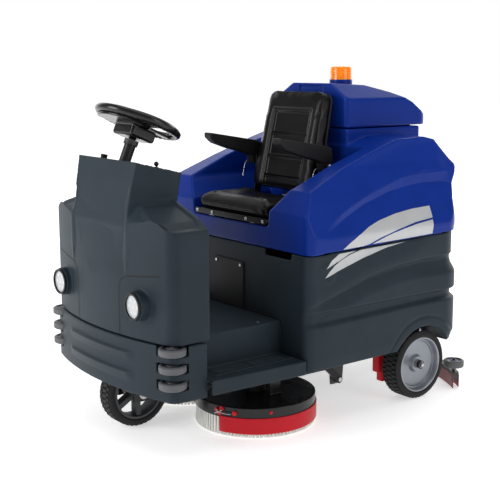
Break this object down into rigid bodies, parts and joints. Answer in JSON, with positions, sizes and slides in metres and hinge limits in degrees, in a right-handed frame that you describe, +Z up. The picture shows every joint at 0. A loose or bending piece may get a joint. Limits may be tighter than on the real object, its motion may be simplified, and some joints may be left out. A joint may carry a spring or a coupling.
{
  "type": "ride-on floor scrubber",
  "caption": "Ride-on floor scrubber with steered front wheel, driver's seat, twin disc brushes, rear squeegee and a tilting recovery tank.",
  "frame": {"origin": "on the floor, under the middle of the machine's length and width", "axes": "+X to the driver's left, +Y to the rear (the machine faces -Y), +Z up"},
  "size_m": [1.136, 1.8179, 1.51],
  "materials": {
    "grey_shell": "satin moulded plastic",
    "blue_shell": "glossy moulded plastic",
    "black_plastic": "fine grained",
    "black_gloss": "glossy",
    "black_steel": "powder coated",
    "bright_steel": "zinc plated",
    "wheel_silver": "silver paint",
    "black_tyre": "matt rubber",
    "roller_grey": "matt",
    "vinyl": "semi-gloss vinyl",
    "red_plastic": "glossy",
    "blade_red": "polyurethane",
    "bristle": "nylon bristle",
    "clear_lens": "clear, faceted",
    "amber_lens": "translucent amber",
    "battery_case": "moulded case",
    "tank_white": "natural polyethylene"
  },
  "bodies": {
    "chassis": {"chassis_frame": "black_steel", "pivot_pins": "bright_steel", "rear_axles": "black_steel", "front_fairing": "grey_shell", "front_bumper": "grey_shell", "headlight_bezels": "black_plastic", "headlight_lenses": "clear_lens", "dash_panel": "black_plastic", "steering_column": "black_steel", "floor_pan": "grey_shell", "pedal_pivots": "bright_steel", "lower_body": "grey_shell", "bulkhead_panel": "black_plastic", "cover_screws": "bright_steel", "batteries": "battery_case", "solution_tank": "tank_white"},
    "steering_wheel": {"steering_rim": "black_gloss", "steering_hub": "black_gloss"},
    "drive_unit": {"drive_fork": "black_steel", "drive_motor": "black_steel"},
    "drive_wheel": {"drive_tyre": "black_tyre", "drive_rim": "black_plastic"},
    "rear_wheel_left": {"rear_tyre_left": "black_tyre", "rear_rim_left": "wheel_silver"},
    "rear_wheel_right": {"rear_tyre_right": "black_tyre", "rear_rim_right": "wheel_silver"},
    "bumper_roller_left_1": {"bumper_roller_left_1": "roller_grey"},
    "bumper_roller_left_2": {"bumper_roller_left_2": "roller_grey"},
    "bumper_roller_left_3": {"bumper_roller_left_3": "roller_grey"},
    "bumper_roller_right_1": {"bumper_roller_right_1": "roller_grey"},
    "bumper_roller_right_2": {"bumper_roller_right_2": "roller_grey"},
    "bumper_roller_right_3": {"bumper_roller_right_3": "roller_grey"},
    "direction_lever": {"direction_lever": "black_gloss"},
    "speed_knob": {"speed_knob": "black_plastic"},
    "key_switch": {"key_switch": "bright_steel"},
    "accelerator": {"accelerator_pedal": "black_steel"},
    "brake": {"brake_pedal": "black_steel"},
    "upper_body": {"recovery_tank": "blue_shell", "vacuum_motor": "black_steel", "seat_rails": "bright_steel"},
    "tank_lid": {"tank_lid": "blue_shell", "beacon_base": "blue_shell", "beacon_lens": "amber_lens"},
    "seat": {"seat_pan": "black_steel", "seat_cushion": "vinyl"},
    "backrest": {"backrest_shell": "black_plastic", "backrest_cushion": "vinyl"},
    "armrest_left": {"armrest_left": "black_plastic"},
    "armrest_right": {"armrest_right": "black_plastic"},
    "deck_arms": {"deck_arms": "black_steel"},
    "scrub_deck": {"brush_deck": "black_gloss", "brush_motors": "black_steel", "splash_skirt": "red_plastic"},
    "brush_left": {"brush_left": "bristle"},
    "brush_right": {"brush_right": "bristle"},
    "squeegee_arm": {"squeegee_arm": "black_steel"},
    "squeegee": {"squeegee_body": "black_steel", "squeegee_blades": "blade_red"},
    "guide_roller_left": {"guide_roller_left": "roller_grey"},
    "guide_roller_right": {"guide_roller_right": "roller_grey"}
  },
  "joints": [
    {"name": "drive_unit_steer", "type": "hinge", "parent": "chassis", "child": "drive_unit", "pos_m": [0, -0.7268, 0.36], "axis": [0, 0, 1], "range_deg": [-80, 80]},
    {"name": "steering_turn", "type": "hinge", "parent": "chassis", "child": "steering_wheel", "pos_m": [0, -0.6828, 1.284], "axis": [0, 0.3955, 0.9184], "range_deg": [-240, 240]},
    {"name": "drive_wheel_spin", "type": "hinge", "parent": "drive_unit", "child": "drive_wheel", "pos_m": [0, -0.7268, 0.15], "axis": [1, 0, 0], "continuous": true},
    {"name": "rear_wheel_left_spin", "type": "hinge", "parent": "chassis", "child": "rear_wheel_left", "pos_m": [0.48, 0.4832, 0.16], "axis": [1, 0, 0], "continuous": true},
    {"name": "rear_wheel_right_spin", "type": "hinge", "parent": "chassis", "child": "rear_wheel_right", "pos_m": [-0.48, 0.4832, 0.16], "axis": [1, 0, 0], "continuous": true},
    {"name": "bumper_roller_left_1_spin", "type": "hinge", "parent": "chassis", "child": "bumper_roller_left_1", "pos_m": [0.431, -0.8168, 0.298], "axis": [0, 0, 1], "continuous": true},
    {"name": "bumper_roller_left_2_spin", "type": "hinge", "parent": "chassis", "child": "bumper_roller_left_2", "pos_m": [0.431, -0.8168, 0.365], "axis": [0, 0, 1], "continuous": true},
    {"name": "bumper_roller_left_3_spin", "type": "hinge", "parent": "chassis", "child": "bumper_roller_left_3", "pos_m": [0.431, -0.8168, 0.432], "axis": [0, 0, 1], "continuous": true},
    {"name": "bumper_roller_right_1_spin", "type": "hinge", "parent": "chassis", "child": "bumper_roller_right_1", "pos_m": [-0.431, -0.8168, 0.298], "axis": [0, 0, 1], "continuous": true},
    {"name": "bumper_roller_right_2_spin", "type": "hinge", "parent": "chassis", "child": "bumper_roller_right_2", "pos_m": [-0.431, -0.8168, 0.365], "axis": [0, 0, 1], "continuous": true},
    {"name": "bumper_roller_right_3_spin", "type": "hinge", "parent": "chassis", "child": "bumper_roller_right_3", "pos_m": [-0.431, -0.8168, 0.432], "axis": [0, 0, 1], "continuous": true},
    {"name": "direction_lever_tilt", "type": "hinge", "parent": "chassis", "child": "direction_lever", "pos_m": [0.15, -0.68386, 1.06926], "axis": [1, 0, 0], "range_deg": [-18, 18]},
    {"name": "speed_knob_turn", "type": "hinge", "parent": "chassis", "child": "speed_knob", "pos_m": [-0.165, -0.75727, 1.10994], "axis": [0, 0.2385, 0.9711], "range_deg": [-135, 135]},
    {"name": "key_turn", "type": "hinge", "parent": "chassis", "child": "key_switch", "pos_m": [-0.09, -0.67861, 1.09062], "axis": [0, 0.2385, 0.9711], "range_deg": [0, 90]},
    {"name": "accelerator_press", "type": "hinge", "parent": "chassis", "child": "accelerator", "pos_m": [-0.15, -0.5268, 0.464], "axis": [1, 0, 0], "range_deg": [0, 18], "stiffness_Nm_per_rad": 5, "springref_deg": -11.46},
    {"name": "brake_press", "type": "hinge", "parent": "chassis", "child": "brake", "pos_m": [-0.04, -0.5268, 0.464], "axis": [1, 0, 0], "range_deg": [0, 18], "stiffness_Nm_per_rad": 8, "springref_deg": -11.46},
    {"name": "upper_body_tilt", "type": "hinge", "parent": "chassis", "child": "upper_body", "pos_m": [0, 0.7452, 0.756], "axis": [-1, 0, 0], "range_deg": [0, 60]},
    {"name": "tank_lid_open", "type": "hinge", "parent": "upper_body", "child": "tank_lid", "pos_m": [0, 0.7472, 1.221], "axis": [-1, 0, 0], "range_deg": [0, 60]},
    {"name": "seat_slide", "type": "slide", "parent": "upper_body", "child": "seat", "axis": [0, -1, 0], "range_m": [0, 0.1]},
    {"name": "backrest_tilt", "type": "hinge", "parent": "seat", "child": "backrest", "pos_m": [0, 0.1112, 0.905], "axis": [1, 0, 0], "range_deg": [0, 15]},
    {"name": "armrest_left_lift", "type": "hinge", "parent": "backrest", "child": "armrest_left", "pos_m": [0.251, 0.1302, 1.073], "axis": [-1, 0, 0], "range_deg": [0, 75]},
    {"name": "armrest_right_lift", "type": "hinge", "parent": "backrest", "child": "armrest_right", "pos_m": [-0.251, 0.1302, 1.073], "axis": [-1, 0, 0], "range_deg": [0, 75]},
    {"name": "deck_lift", "type": "hinge", "parent": "chassis", "child": "deck_arms", "pos_m": [0, 0.1282, 0.118], "axis": [-1, 0, 0], "range_deg": [0, 5]},
    {"name": "deck_level", "type": "hinge", "parent": "deck_arms", "child": "scrub_deck", "pos_m": [0, -0.2568, 0.198], "axis": [-1, 0, 0], "range_deg": [-5, 0]},
    {"name": "brush_left_spin", "type": "hinge", "parent": "scrub_deck", "child": "brush_left", "pos_m": [0.262, -0.2768, 0.084], "axis": [0, 0, 1], "continuous": true},
    {"name": "brush_right_spin", "type": "hinge", "parent": "scrub_deck", "child": "brush_right", "pos_m": [-0.262, -0.2768, 0.084], "axis": [0, 0, 1], "continuous": true},
    {"name": "squeegee_lift", "type": "hinge", "parent": "chassis", "child": "squeegee_arm", "pos_m": [0, 0.5932, 0.19], "axis": [1, 0, 0], "range_deg": [0, 12]},
    {"name": "squeegee_swing", "type": "hinge", "parent": "squeegee_arm", "child": "squeegee", "pos_m": [0, 0.8132, 0.128], "axis": [0, 0, 1], "range_deg": [-2.5, 2.5]},
    {"name": "guide_roller_left_spin", "type": "hinge", "parent": "squeegee", "child": "guide_roller_left", "pos_m": [0.52, 0.7232, 0.122], "axis": [0, 0, 1], "continuous": true},
    {"name": "guide_roller_right_spin", "type": "hinge", "parent": "squeegee", "child": "guide_roller_right", "pos_m": [-0.52, 0.7232, 0.122], "axis": [0, 0, 1], "continuous": true}
  ],
  "couplings": [
    {"joint": "steering_turn", "follows": "drive_unit_steer", "ratio": 3},
    {"joint": "deck_level", "follows": "deck_lift", "ratio": -1}
  ]
}
